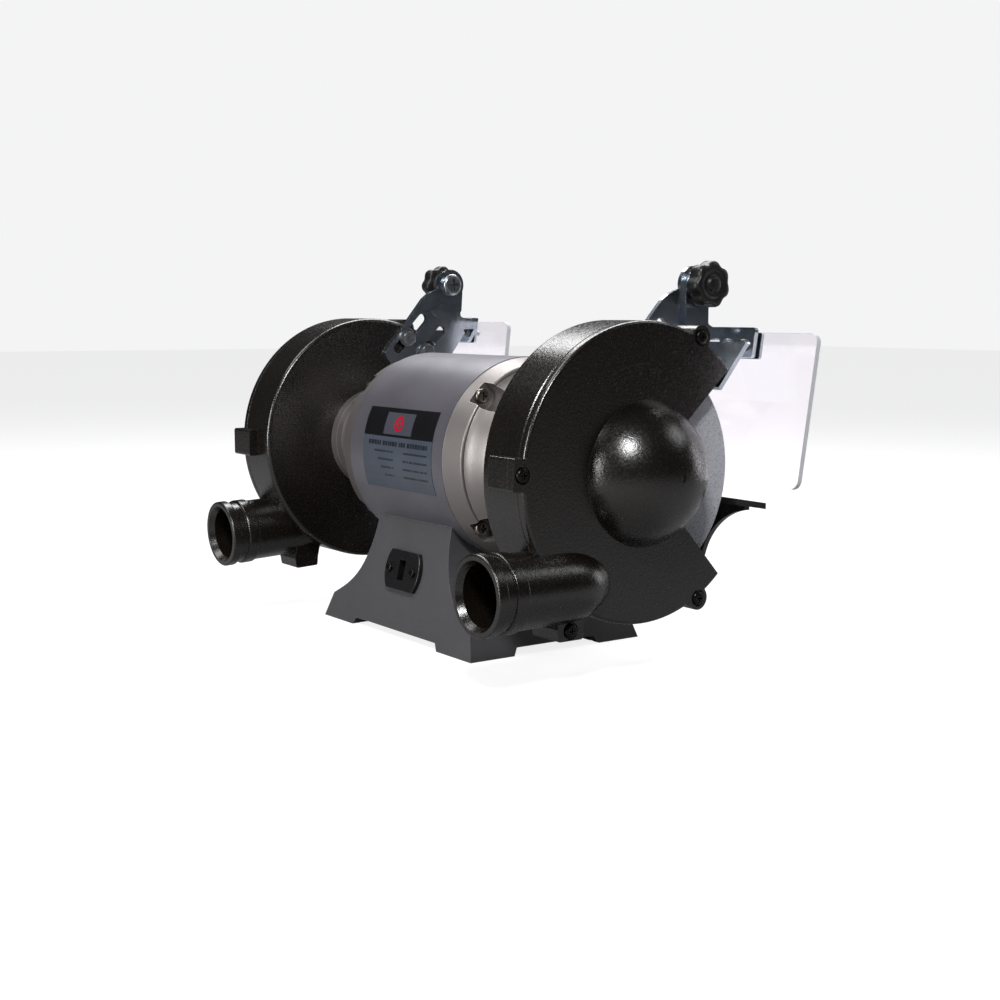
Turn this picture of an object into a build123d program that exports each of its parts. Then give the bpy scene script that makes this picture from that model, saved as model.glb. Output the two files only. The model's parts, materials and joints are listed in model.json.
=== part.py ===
from build123d import *
import math
import os

# Bench grinder for 150 mm wheels, in millimetres.
# +X runs along the spindle to the operator's right, -Y faces the operator, +Z is up.
# The origin is on the bench, in the middle of the four mounting holes.

# spindle and wheels
axisHeight = 124.5
wheelRadius = 75.0
wheelWidth = 20.0
wheelInner = 152.0
arborRadius = 6.35
bushRadius = 15.875
flangeRadius = 30.0
blotterThick = 0.6
shoulderX = 146.0
shaftEndX = 193.0

# motor
shellRadius = 68.0
shellWall = 2.6
shellHalf = 58.5
labelStart = -46.5
labelWidth = 87.0
bellEnd = 75.5
bellEndRadius = 64.0
neckRadius = 34.0
neckFlangeRadius = 38.5
tieCircle = 61.0
tieAngles = (45, 135, 225, 315)
bearingOuter = 17.5
bearingInner = 7.5
bearingWidth = 11.0
bearingX = 108.0
stackHalf = 30.0
rotorRadius = 32.5
statorBore = 33.2

# wheel guards
guardInner = 139.0
partingX = 174.5
coverFace = 180.5
guardRadius = 92.5
guardWall = 5.0
coverWall = 4.0
openingHub = 46.0
openingCentre = 182.3
openingHalf = 45.0
domeRadius = 45.0
domeHeight = 33.0
seamChamfer = 0.6

# dust port, one behind each wheel
portX = 172.5
portZ = 60.5
portMouthY = 120.0
portLip = 24.5
portBody = 22.8
portBore = 18.6
portTipY = 26.0

# base
baseHalfWidth = 95.0
baseHalfDepth = 70.0
baseTop = 84.0
faceSlope = 0.235
archHeight = 5.0
archHalfWidth = 55.5
archHalfDepth = 36.0
castingWall = 6.0
benchHoleX = 78.0
benchHoleY = 45.0
benchHoleRadius = 4.25
panelZ = 45.0

# the right-hand guard, with all that hangs on it, is bolted on a little turned about the spindle
guardTurn = -3.0

# eye shield, drawn for a guard that is not turned
pivotY = -75.5
pivotZ = 239.8
plateThick = 3.0
boltRadius = 3.0
slideAngle = 137.0
sparkTop = (-86.9, 201.3)
sparkFoot = (-64.0, 173.5)
sparkReach = 178.0
tabRadius = 12.0
armThick = 3.2
armFrontY = -99.8
armHighZ = 212.5
armLowZ = 204.0
wingBottom = 193.0
wingOuter = 171.0
clampScrewX = (148.0, 163.0)
clampScrewDrop = 11.5
paneInner = 98.0
paneOuter = 222.0
paneHeight = 97.5
paneThick = 3.6
paneTilt = 9.0
paneDrop = 2.8
washerThick = 2.0
knobLobes = 7

# tool rest
restBackY = -77.5
restFrontY = -104.0
restBackZ = 104.0
restTilt = 10.0
restInner = 134.0
restOuter = 180.0
restThick = 4.0
gussetY = -86.0
gussetThick = 4.0

fitGap = 0.05


def barX(radius, start, end, y=0.0, z=axisHeight):
    """A round bar along X."""
    return Pos((start + end) / 2, y, z) * Rot(0, 90, 0) * Cylinder(radius, end - start)


def barY(radius, start, end, x, z):
    return Pos(x, (start + end) / 2, z) * Rot(90, 0, 0) * Cylinder(radius, end - start)


def barZ(radius, start, end, x, y):
    return Pos(x, y, (start + end) / 2) * Cylinder(radius, end - start)


def block(x0, x1, y0, y1, z0, z1):
    return Pos((x0 + x1) / 2, (y0 + y1) / 2, (z0 + z1) / 2) * Box(x1 - x0, y1 - y0, z1 - z0)


def turned(points, radii=0.0):
    """Turn an outline of (x, radius) points about the spindle."""
    outline = FilletPolyline(*points, radius=radii, close=True)
    return Pos(0, 0, axisHeight) * revolve(Plane.XZ * make_face(outline), Axis.X)


def sheetYZ(points, start, end, radii=0.0):
    """A plate whose outline lies in YZ, between two X positions."""
    outline = FilletPolyline(*points, radius=radii, close=True)
    return extrude(Plane.YZ.offset(start) * make_face(outline), end - start)


def sheetXZ(points, start, end, radii=0.0):
    """A plate whose outline lies in XZ, between two Y positions."""
    outline = FilletPolyline(*points, radius=radii, close=True)
    plane = Plane(origin=(0, start, 0), x_dir=(1, 0, 0), z_dir=(0, -1, 0))
    return extrude(plane * make_face(outline), start - end)


def polar(radius, degrees):
    """Y and Z of a point about the spindle, with 0 degrees towards the rear."""
    angle = math.radians(degrees)
    return radius * math.cos(angle), axisHeight + radius * math.sin(angle)


def joined(pieces):
    """Separate solids that share one node."""
    return Compound(children=[solid for piece in pieces for solid in piece.solids()])


def onSide(shape, side):
    """Parts of a wheel end are drawn for the right and mirrored for the left."""
    if side == "left":
        return mirror(shape, Plane.YZ)
    return shape


def onGuard(shape, side):
    """Parts that hang on a guard turn with it at the right-hand end."""
    if side == "right":
        return Pos(0, 0, axisHeight) * Rot(guardTurn, 0, 0) * Pos(0, 0, -axisHeight) * shape
    return mirror(shape, Plane.YZ)


def slotCut(start, end, width, x0, x1):
    """A round-ended slot through a plate in YZ."""
    length = math.dist(start, end)
    turn = math.degrees(math.atan2(end[1] - start[1], end[0] - start[0]))
    middle = ((start[0] + end[0]) / 2, (start[1] + end[1]) / 2)
    face = Pos(*middle) * Rot(0, 0, turn) * SlotCenterToCenter(length, width)
    return extrude(Plane.YZ.offset(x0) * face, x1 - x0)


def crossRecess(width, depth):
    """The cross-shaped driver recess, cut down from Z = 0."""
    blade = Box(width, width * 0.24, depth)
    return Pos(0, 0, -depth / 2) * (blade + Rot(0, 0, 90) * blade)


def panScrew(headRadius, headHeight, shankRadius, shankLength):
    """A pan-head screw along Z, its head standing on Z = 0."""
    head = Pos(0, 0, headHeight / 2) * Cylinder(headRadius, headHeight)
    head = fillet(head.edges().group_by(Axis.Z)[-1], headHeight * 0.6)
    head -= Pos(0, 0, headHeight) * crossRecess(headRadius * 1.1, headHeight * 0.6)
    return head + Pos(0, 0, -shankLength / 2) * Cylinder(shankRadius, shankLength)


def hexHead(flats, height):
    """A hexagon head or nut standing on Z = 0, its top corners turned off."""
    prism = extrude(RegularPolygon(flats / 2, 6, major_radius=False), height)
    corner = flats / math.sqrt(3)
    cap = Pos(0, 0, height / 2) * Cylinder(corner, height)
    cap = chamfer(cap.edges().group_by(Axis.Z)[-1], (corner - flats / 2) * 0.6, (corner - flats / 2) * 1.1)
    return prism & cap


def hexBolt(flats, headHeight, shankRadius, shankLength):
    return hexHead(flats, headHeight) + Pos(0, 0, -shankLength / 2) * Cylinder(shankRadius, shankLength)


def along(shape, x, y, z, direction):
    """Stand a Z-axis fastener on a point, its head towards a direction."""
    return Plane(origin=(x, y, z), z_dir=direction).location * shape


# ---------------------------------------------------------------- base

def baseBlock(inset):
    """The tapered pedestal, or the same shape drawn in by a wall thickness."""
    half = Polyline((0, 0), (baseHalfWidth - inset, 0), (88 - inset, 17.5 - inset * 0.5))
    flare = Spline(
        (88 - inset, 17.5 - inset * 0.5),
        (59 - inset, 38 - inset * 0.5),
        (47 - inset, 66),
        (45.5 - inset, baseTop),
        tangents=((-0.9, 0.45), (-0.04, 1)),
    )
    top = Line((45.5 - inset, baseTop), (0, baseTop))
    side = Line((0, baseTop), (0, 0))
    outline = make_face(half + flare + top + side)
    outline += mirror(outline, Plane.YZ)
    plane = Plane(origin=(0, baseHalfDepth, 0), x_dir=(1, 0, 0), z_dir=(0, -1, 0))
    body = extrude(plane * outline, 2 * baseHalfDepth)
    footY = baseHalfDepth - inset
    topY = footY - faceSlope * baseTop
    taper = sheetYZ(((-footY, 0), (footY, 0), (topY, baseTop), (-topY, baseTop)), -100, 100)
    return body & taper


def facePlane(front):
    """The sloping front or rear face of the base, at the height of its fittings."""
    y = baseHalfDepth - faceSlope * panelZ
    if front:
        return Plane(origin=(0, -y, panelZ), x_dir=(1, 0, 0), z_dir=(0, -1, faceSlope))
    return Plane(origin=(0, y, panelZ), x_dir=(-1, 0, 0), z_dir=(0, 1, faceSlope))


padHeight = 12.0
benchHoles = [(x, y) for x in (-benchHoleX, benchHoleX) for y in (-benchHoleY, benchHoleY)]
inletHole = (30.0, 20.0)
switchHole = (30.0, 22.0)
saddlePoints = [(x, y) for x in (-32, 32) for y in (-18, 18)]
plateScrews = [(x, y) for x in (-44, 44) for y in (-57, 57)]


def saddleZ(y):
    """Height of the underside of the motor shell at a distance from the centre line."""
    return axisHeight - math.sqrt(shellRadius ** 2 - y ** 2)


def base():
    body = baseBlock(0) - barX(shellRadius, -70, 70)
    hollow = baseBlock(castingWall) - barX(shellRadius + castingWall, -70, 70)
    pads = block(-100, 100, -80, 80, 0, padHeight)
    pads -= block(-archHalfWidth, archHalfWidth, -80, 80, 0, padHeight)
    pads -= block(-100, 100, -archHalfDepth, archHalfDepth, 0, padHeight)
    hollow -= pads
    for x, y in benchHoles:
        hollow -= barZ(12, 0, 40, x, y)
    for x, y in plateScrews:
        hollow -= barZ(6, 0, 20, x, y)
    body -= hollow
    arch = archHeight * 0.8
    body -= sheetXZ(((-archHalfWidth, -1), (archHalfWidth, -1), (archHalfWidth - arch, archHeight),
                     (arch - archHalfWidth, archHeight)), 80, -80)
    body -= sheetYZ(((-archHalfDepth, -1), (archHalfDepth, -1), (archHalfDepth - arch, archHeight),
                     (arch - archHalfDepth, archHeight)), -100, 100)
    for x, y in benchHoles:
        body -= barZ(benchHoleRadius, -1, 60, x, y)
        body -= barZ(9.5, padHeight, 60, x, y)
    for x, y in plateScrews:
        body -= barZ(1.9, 0, 16, x, y)
    for x, y in saddlePoints:
        body -= barZ(3.3, 30, 80, x, y)
    body -= barZ(9, 30, 70, 0, 0)
    body -= extrude(facePlane(False) * Rectangle(*inletHole), 12, both=True)
    body -= extrude(facePlane(True) * Rectangle(*switchHole), 12, both=True)
    for x in (-14.6, 14.6):
        body -= Location(facePlane(False)) * Pos(x, 0, 0) * Cylinder(1.6, 30)
    return body


def bottomPlate():
    plate = block(-51, 51, -62, 62, archHeight - 1.5, archHeight)
    plate = fillet(plate.edges().filter_by(Axis.Z), 4)
    for x, y in plateScrews:
        plate -= barZ(2.2, 0, 10, x, y)
    return plate


def bottomPlateScrews():
    screw = panScrew(3.6, 2.2, 1.9, 12)
    return joined([along(screw, x, y, archHeight - 1.5, (0, 0, -1)) for x, y in plateScrews])


def saddleScrews():
    """Hexagon screws that pull the motor down on the saddle of the base."""
    screws = []
    for x, y in saddlePoints:
        seat = saddleZ(abs(y) - 5) - castingWall
        length = saddleZ(y) - seat + shellWall - 2.6
        screws.append(along(hexBolt(10, 4, 3, length), x, y, seat - 1.8, (0, 0, -1)))
    return joined(screws)


# ---------------------------------------------------------------- motor

def motorShell():
    shell = barX(shellRadius, -shellHalf, shellHalf) - barX(shellRadius - shellWall, -70, 70)
    for x, y in saddlePoints:
        shell -= barZ(3, 50, 80, x, y)
    return shell - barZ(8, 40, 80, 0, 0)


def endBell(screwTurn):
    """Cast bell: spigot, conical rim, dome, neck and the flange that the guard is screwed to."""
    spigot = shellRadius - shellWall
    rimEnd = (bellEnd - 1.5, bellEndRadius + 0.3)
    faceStart = (bellEnd, bellEndRadius - 2)
    rim = Polyline((50, 61.5), (50, spigot), (shellHalf, spigot), (shellHalf, shellRadius - 0.4), rimEnd)
    corner = ThreePointArc(rimEnd, (bellEnd - 0.2, bellEndRadius - 0.5), faceStart)
    dome = Spline(faceStart, (90, 55.5), (104, 45), (116, neckRadius), tangents=((0.75, -0.65), (0.8, -0.6)))
    bearingEnd = bearingX + bearingWidth
    neck = Polyline((116, neckRadius), (131, neckRadius), (131, neckFlangeRadius),
                    (guardInner, neckFlangeRadius), (guardInner, 12), (bearingEnd, 12),
                    (bearingEnd, bearingOuter), (98, bearingOuter))
    inside = Polyline((98, bearingOuter), (98, 23), (102, 23), (102, 30), (90, 44), (62, 44),
                      (62, 61.5), (50, 61.5))
    outline = make_face(rim + corner + dome + neck + inside)
    bell = Pos(0, 0, axisHeight) * revolve(Plane.XZ * outline, Axis.X)
    for degrees in tieAngles:
        y, z = polar(tieCircle, degrees)
        bell -= barX(2.8, 40, 70, y, z)
        bell -= barX(9.5, 67, 130, y, z)
    for degrees in guardScrewAngles:
        y, z = polar(guardScrewCircle, degrees + screwTurn)
        bell -= barX(2.5, 125, 150, y, z)
    return bell


def tieBolts():
    """Long bolts that clamp both bells on the shell, heads at the left end."""
    bolt = panScrew(5, 3.4, 2.5, 2 * 67 + 8)
    return joined([along(bolt, -67, *polar(tieCircle, degrees), (-1, 0, 0)) for degrees in tieAngles])


def tieNuts():
    nut = hexHead(8, 4.2) - Cylinder(2.5, 20)
    return joined([along(nut, 67, *polar(tieCircle, degrees), (1, 0, 0)) for degrees in tieAngles])


slotCount = 24


def slotTooth(inner, outer, width, half, angle):
    """A radial bar between two radii."""
    bar = Pos(0, (inner + outer) / 2, 0) * Box(2 * half, outer - inner, width)
    return Pos(0, 0, axisHeight) * Rot(angle, 0, 0) * bar


def statorCore():
    core = barX(shellRadius - shellWall, -stackHalf, stackHalf) - barX(statorBore, -40, 40)
    for index in range(slotCount):
        core -= slotTooth(statorBore + 3, 52, 4.6, 40, index * 360 / slotCount + 7.5)
        core -= slotTooth(statorBore - 1, statorBore + 4, 1.6, 40, index * 360 / slotCount + 7.5)
    for degrees in tieAngles:
        y, z = polar(tieCircle, degrees)
        core -= barX(3, -40, 40, y, z)
    return core


def statorWindings():
    """Copper bars in the slots, joined by the rounded end turns."""
    start, end = stackHalf + 1, stackHalf + 17
    endTurn = turned(((start, 38), (end, 38), (end, 56), (start, 56)), 4)
    coils = endTurn + mirror(endTurn, Plane.YZ)
    for index in range(slotCount):
        coils += slotTooth(statorBore + 6.2, 51.6, 4.0, stackHalf + 3, index * 360 / slotCount + 7.5)
    return coils


def runCapacitor():
    """A can lying in the base, with two spade tags."""
    can = barX(13, -38, 12, -8, 26)
    can = fillet(can.edges().filter_by(GeomType.CIRCLE), 1.5)
    for y in (-12, -4):
        can += block(12, 20, y - 0.4, y + 0.4, 23, 29)
    return can


def capacitorClamp():
    strap = barX(14.2, -20, -8, -8, 26) - barX(13, -30, 0, -8, 26)
    strap -= block(-30, 0, -24, 8, 0, archHeight + 2)
    return strap & block(-20, -8, -30, 20, 6, 60)


def terminalBlock():
    body = block(22, 40, -22, 14, archHeight, archHeight + 12)
    for index in range(4):
        y = -17.5 + index * 9
        body -= barZ(2.4, 10, 20, 31, y)
    return body


# ---------------------------------------------------------------- spindle

def shaft():
    """One turned spindle: rotor seat, bearing seats, shoulders and threaded ends."""
    seatStart, seatEnd = bearingX - 1, bearingX + bearingWidth + 4
    half = ((0, 0), (0, 10), (stackHalf + 14, 10), (stackHalf + 14, 8.6), (seatStart, 8.6),
            (seatStart, bearingInner), (seatEnd, bearingInner), (seatEnd, 9), (shoulderX, 9),
            (shoulderX, arborRadius), (shaftEndX - 1, arborRadius), (shaftEndX, arborRadius - 1),
            (shaftEndX, 0))
    end = turned(half)
    return end + mirror(end, Plane.YZ)


def rotorCore():
    return barX(rotorRadius, -stackHalf, stackHalf) - barX(10, -40, 40)


def rotorCage():
    """Cast end rings with short cooling blades."""
    ring = barX(31, stackHalf, stackHalf + 6) - barX(21, 20, 50)
    for index in range(8):
        ring += Pos(stackHalf + 6, 0, 0) * slotTooth(22, 30, 2.2, 5, index * 45)
    return joined([ring, mirror(ring, Plane.YZ)])


ballRadius = 3.0
ballCircle = 12.4
ballCount = 8
raceRadius = ballRadius + fitGap


def bearingRing(inner, outer):
    middle = bearingX + bearingWidth / 2
    end = bearingX + bearingWidth
    ring = barX(outer, bearingX, end) - barX(inner, bearingX - 1, end + 1)
    groove = Pos(middle, 0, axisHeight) * Rot(0, 90, 0) * Torus(ballCircle, raceRadius)
    ring -= groove
    return joined([ring, mirror(ring, Plane.YZ)])


def bearingBalls():
    middle = bearingX + bearingWidth / 2
    balls = []
    for index in range(ballCount):
        y, z = polar(ballCircle, index * 360 / ballCount)
        balls.append(Pos(middle, y, z) * Sphere(ballRadius))
        balls.append(Pos(-middle, y, z) * Sphere(ballRadius))
    return joined(balls)


def preloadWasher():
    """Spring washer that keeps the left bearing pushed home."""
    return barX(bearingOuter - 0.3, -bearingX, 1.2 - bearingX) - barX(13.5, -120, -90)


def wheel():
    disc = barX(wheelRadius, wheelInner, wheelInner + wheelWidth)
    disc = chamfer(disc.edges().filter_by(GeomType.CIRCLE), 1.0)
    return disc - barX(bushRadius, 140, 180)


def wheelBush():
    return barX(bushRadius, wheelInner, wheelInner + wheelWidth) - barX(arborRadius, 140, 200)


def wheelBlotters():
    rings = []
    for start in (wheelInner - blotterThick, wheelInner + wheelWidth):
        rings.append(barX(flangeRadius + 2, start, start + blotterThick) - barX(arborRadius + 0.2, 140, 200))
    return rings


def innerFlange():
    """Flange that bears on its rim only, with a relieved middle."""
    face = wheelInner - blotterThick
    disc = turned(((shoulderX, arborRadius), (shoulderX, 14), (face - 3, flangeRadius), (face, flangeRadius),
                   (face, flangeRadius - 6), (face - 1.5, flangeRadius - 7), (face - 1.5, arborRadius)))
    return disc


def outerFlange():
    face = wheelInner + wheelWidth + blotterThick
    return turned(((face, flangeRadius), (face + 2.5, flangeRadius), (face + 5, 17), (face + 5, arborRadius),
                   (face + 1.5, arborRadius), (face + 1.5, flangeRadius - 7), (face, flangeRadius - 6)))


def arborNut():
    start = wheelInner + wheelWidth + blotterThick + 5
    nut = hexHead(19, 10) - Cylinder(arborRadius, 40)
    return along(nut, start, 0, axisHeight, (1, 0, 0))


# ---------------------------------------------------------------- wheel guards

bossAngles = (118.0, -119.0)
rearBossAngle = 2.7
bossCircle = 93.0
bossRadius = 7.5
bossDepth = 19.0
portScrew = (57.0, 34.5)
guardScrewCircle = 27.0
guardScrewAngles = (45, 135, 225, 315)
shieldBolts = ((-31.5, 200.3), (-48.3, 189.3))
restBolts = ((-52.0, 62.5), (-36.0, 48.5))


def openingWedge(x0, x1, hub, half):
    """The open sector in front of the wheel, outside the hub radius."""
    reach = 160
    low, high = openingCentre - half, openingCentre + half
    corner = (0, axisHeight)
    wedge = sheetYZ((corner, polar(reach, low), polar(reach, high)), x0, x1)
    return wedge - barX(hub, x0 - 1, x1 + 1)


def bullet(radius, tipY, shoulderY, endY):
    """A round bar along the dust port's axis, ending in a blunt nose."""
    shoulder = (radius * 0.72, tipY + (shoulderY - tipY) * 0.27)
    nose = Spline((0, tipY), shoulder, (radius, shoulderY), tangents=((1, 0), (0, 1)))
    outline = nose + Polyline((radius, shoulderY), (radius, endY), (0, endY), (0, tipY))
    return Pos(portX, 0, portZ) * revolve(make_face(outline), Axis.Y)


def portSolid():
    """The bullet-shaped dust port: rounded tip, body, two rings and a lip."""
    body = bullet(portBody, portTipY, 66, portMouthY - 1)
    lip = barY(portLip, portMouthY - 7, portMouthY, portX, portZ)
    lip = fillet(lip.edges().filter_by(GeomType.CIRCLE), 1.2)
    collar = barY(portLip - 0.4, portMouthY - 22, portMouthY - 13, portX, portZ)
    collar = fillet(collar.edges().filter_by(GeomType.CIRCLE), 1.2)
    return body + lip + collar


def portHollow():
    bore = bullet(portBore, portTipY + coverWall, 66, portMouthY + 1)
    mouth = Pos(portX, portMouthY - 2, portZ) * Rot(-90, 0, 0) * Cone(portBore, portBore + 2.4, 4.2)
    return bore + mouth


def bosses(x0, x1):
    """Round screw bosses on the rim, a square one at the rear and a square lug under the port."""
    lugs = []
    for degrees in bossAngles:
        y, z = polar(bossCircle, degrees)
        arm = Pos((x0 + x1) / 2, bossCircle - 5, 0) * Box(x1 - x0, 10, 2 * bossRadius)
        lugs.append(barX(bossRadius, x0, x1, y, z) + Pos(0, 0, axisHeight) * Rot(degrees, 0, 0) * arm)
    rear = Pos((x0 + x1) / 2, bossCircle - 0.5, 0) * Box(x1 - x0, 14, 19.5)
    rear = fillet(rear.edges().filter_by(Axis.X), 1.5)
    lugs.append(Pos(0, 0, axisHeight) * Rot(rearBossAngle, 0, 0) * rear)
    y, z = portScrew
    under = ((y - 9, z - 6), (y + 9, z - 6), (y + 10, z + 1), (y + 6, z + 16), (y - 14, z + 16),
             (y - 10, z + 1))
    lugs.append(sheetYZ(under, x0, x1, (1.5, 1.5, 3, 0, 0, 3)))
    return lugs


def screwPoints():
    return [polar(bossCircle, degrees) for degrees in bossAngles + (rearBossAngle,)] + [portScrew]


def guard():
    """Inner casting: wall, rim and the inner half of the dust port."""
    drum = barX(guardRadius, guardInner, partingX)
    drum = fillet(drum.edges().group_by(Axis.X)[0], 3)
    drum = chamfer(drum.edges().group_by(Axis.X)[-1], seamChamfer)
    body = drum + (portSolid() & block(100, partingX, 0, 140, 0, 120))
    for lug in bosses(partingX - bossDepth, partingX):
        body += lug
    body -= barX(guardRadius - guardWall, guardInner + guardWall, partingX + 1)
    body -= portHollow()
    body -= openingWedge(guardInner - 1, partingX + 1, openingHub, openingHalf)
    body -= barX(12, 130, 150)
    for y, z in screwPoints():
        body -= barX(2.2, partingX - 12, partingX + 1, y, z)
    for degrees in guardScrewAngles:
        y, z = polar(guardScrewCircle, degrees)
        body -= barX(2.7, 130, 150, y, z)
    for y, z in shieldBolts + restBolts:
        body -= barX(boltRadius, 130, 150, y, z)
    return body


def rotationArrow():
    """A plain curved arrow that shows which way the wheel turns."""
    inner, outer = 63.0, 67.0
    band = barX(outer, coverFace - 0.5, coverFace + 0.7) - barX(inner, coverFace - 1, coverFace + 1)
    corner = (0, axisHeight)
    band &= sheetYZ((corner, polar(120, 62), polar(120, 92)), coverFace - 1, coverFace + 1)
    head = sheetYZ((polar(65, 103), polar(59.5, 91), polar(70.5, 91)), coverFace - 0.5, coverFace + 0.7)
    return band + head


def domeSolid(radius, height, start):
    """A cap of a ball that swells out of the cover's face, on a short plug."""
    ball = (radius ** 2 + height ** 2) / (2 * height)
    half = math.atan2(radius, ball - height) / 2
    middle = (coverFace + height - ball + ball * math.cos(half), ball * math.sin(half))
    arc = ThreePointArc((coverFace, radius), middle, (coverFace + height, 0))
    outline = arc + Polyline((coverFace + height, 0), (start, 0), (start, radius), (coverFace, radius))
    return Pos(0, 0, axisHeight) * revolve(Plane.XZ * make_face(outline), Axis.X)


def cover():
    """Outer casting: disc, spindle dome and the outer half of the dust port."""
    disc = barX(guardRadius, partingX, coverFace)
    disc = fillet(disc.edges().group_by(Axis.X)[-1], 2.2)
    disc = chamfer(disc.edges().group_by(Axis.X)[0], seamChamfer)
    body = disc + domeSolid(domeRadius, domeHeight, coverFace - 1)
    body += portSolid() & block(partingX, 240, 0, 140, 0, 120)
    for lug in bosses(partingX, coverFace):
        body += lug
    body -= barX(guardRadius - guardWall, partingX - 1, coverFace - coverWall)
    body -= domeSolid(domeRadius - coverWall, domeHeight - coverWall, partingX - 1)
    body -= portHollow() & block(partingX - 1, 240, 0, 140, 0, 120)
    body -= openingWedge(partingX - 1, coverFace + 1, openingHub, openingHalf)
    for y, z in screwPoints():
        body -= barX(2.5, partingX - 1, coverFace + 4, y, z)
        body -= barX(5.4, coverFace - 1.6, coverFace + 4, y, z)
    return body + rotationArrow()


def coverScrews():
    screw = panScrew(4.6, 3.2, 2.2, 15)
    return joined([along(screw, coverFace - 1.6, y, z, (1, 0, 0)) for y, z in screwPoints()])


def guardScrews(side):
    screw = panScrew(5, 2.4, 2.5, 12)
    points = [polar(guardScrewCircle, degrees) for degrees in guardScrewAngles]
    return [onGuard(along(screw, guardInner + guardWall, y, z, (1, 0, 0)), side) for y, z in points]


# ---------------------------------------------------------------- eye shields

def slideVector():
    angle = math.radians(slideAngle)
    return math.cos(angle), math.sin(angle)


def sparkPlate():
    """Slotted plate on the guard wall, with a flange folded across the wheel."""
    x0, x1 = guardInner - plateThick, guardInner
    top, foot = sparkTop, sparkFoot
    outline = ((-86.5, 236), (-84.5, 218), (-78, 217.4), top, foot, (-50, 166), (-17, 180), (-11, 189.5),
               (-48, 230), (-53, 233.5), (-67, 239))
    radii = (3, 2, 2, 1.5, 2, 4, 2, 3, 4, 4, 3)
    plate = sheetYZ(outline, x0, x1, radii)
    plate += barX(tabRadius, x0, x1, pivotY, pivotZ)
    dy, dz = foot[0] - top[0], foot[1] - top[1]
    length = math.hypot(dy, dz)
    ny, nz = dz / length * plateThick, -dy / length * plateThick
    plate += sheetYZ((top, foot, (foot[0] - ny, foot[1] - nz), (top[0] - ny, top[1] - nz)), x0, sparkReach)
    uy, uz = slideVector()
    for (y, z), up, down in zip(shieldBolts, (21, 21.5), (11, 6)):
        plate -= slotCut((y + up * uy, z + up * uz), (y - down * uy, z - down * uz), 7.5, x0 - 5, x1 + 5)
    plate -= barX(4, x0 - 5, x1 + 5, pivotY, pivotZ)
    pointer = ((-65.4, 224.9), (-56.2, 220.3), (-60.9, 215.1))
    return plate + sheetYZ(pointer, x0 - plateThick, x0)


def pivotBolt():
    """Carriage bolt for the eye shield, with a domed cross-recess head."""
    x0 = guardInner - plateThick
    bolt = panScrew(8.5, 4.2, 4, 16)
    return along(bolt, x0, pivotY, pivotZ, (-1, 0, 0))


armOuter = guardInner + armThick
knobStart = armOuter + washerThick


def paneFrame(shape):
    """Lean a part drawn below the bend of the arm, foot towards the wheel."""
    return Pos(0, armFrontY, armHighZ) * Rot(paneTilt, 0, 0) * shape


def clampHoles(radius):
    """Two bars across the wing, the straps and the pane."""
    bars = [Pos(x, 0, -clampScrewDrop) * Rot(90, 0, 0) * Cylinder(radius, 40) for x in clampScrewX]
    return paneFrame(bars[0] + bars[1])


def shieldArm():
    """Bent strip: a tab on the pivot, a neck forward and a wing across for the pane."""
    front, rear = pivotY - 10, pivotY + 10
    outline = ((front, pivotZ), (front, armHighZ + 2), (front - 4, armHighZ), (armFrontY, armHighZ),
               (armFrontY + 1.5, armLowZ), (front + 4, armLowZ), (rear, armHighZ), (rear, pivotZ))
    tab = sheetYZ(outline, guardInner, armOuter, (0, 2, 2, 0, 0, 3, 5, 0))
    tab += barX(10, guardInner, armOuter, pivotY, pivotZ)
    tab -= barX(4 + fitGap, guardInner - 5, armOuter + 5, pivotY, pivotZ)
    foot = wingBottom - armHighZ
    side = ((guardInner, 0), (wingOuter, 0), (wingOuter, foot), (armOuter + 5, foot),
            (guardInner, armLowZ - armHighZ))
    wing = paneFrame(sheetXZ(side, 0, -plateThick, (0, 2, 2, 3, 0)))
    return tab + wing - clampHoles(2)


def shieldPane():
    """Clear pane with rounded corners, flat on the front of the wing."""
    sheet = Box(paneOuter - paneInner, paneThick, paneHeight)
    sheet = fillet(sheet.edges().filter_by(Axis.Y), 6)
    middle = Pos((paneInner + paneOuter) / 2, -plateThick - paneThick / 2, -paneDrop - paneHeight / 2)
    return paneFrame(middle * sheet) - clampHoles(2.3)


def clampPlate():
    """Strap across the front of the pane."""
    left, right = armOuter + 2, wingOuter + 2
    front = -plateThick - paneThick
    strap = Pos((left + right) / 2, front - 1, -paneDrop - 8.5) * Box(right - left, 2, 17)
    strap = fillet(strap.edges().filter_by(Axis.Y), 1.5)
    return paneFrame(strap) - clampHoles(2)


def clampScrews():
    screw = Rot(-90, 0, 0) * panScrew(3.8, 2.6, 2, plateThick + paneThick + 6)
    return joined([paneFrame(Pos(x, 0, -clampScrewDrop) * screw) for x in clampScrewX])


def pivotWasher():
    return barX(9, armOuter, knobStart, pivotY, pivotZ) - barX(4 + fitGap, 130, 160, pivotY, pivotZ)


def knob():
    """Seven-lobed clamping knob, hollowed a little between its lobes."""
    start = knobStart
    body = barX(15.2, start + 2.5, start + 13.5, pivotY, pivotZ)
    for index in range(knobLobes):
        angle = math.radians(index * 360 / knobLobes + 20)
        body -= barX(9.5, start, start + 20, pivotY + 23 * math.cos(angle), pivotZ + 23 * math.sin(angle))
    body += barX(10, start, start + 3, pivotY, pivotZ)
    body += barX(8, start + 13, start + 15, pivotY, pivotZ)
    return body - barX(4 + fitGap, start - 1, start + 9.2, pivotY, pivotZ)


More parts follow.
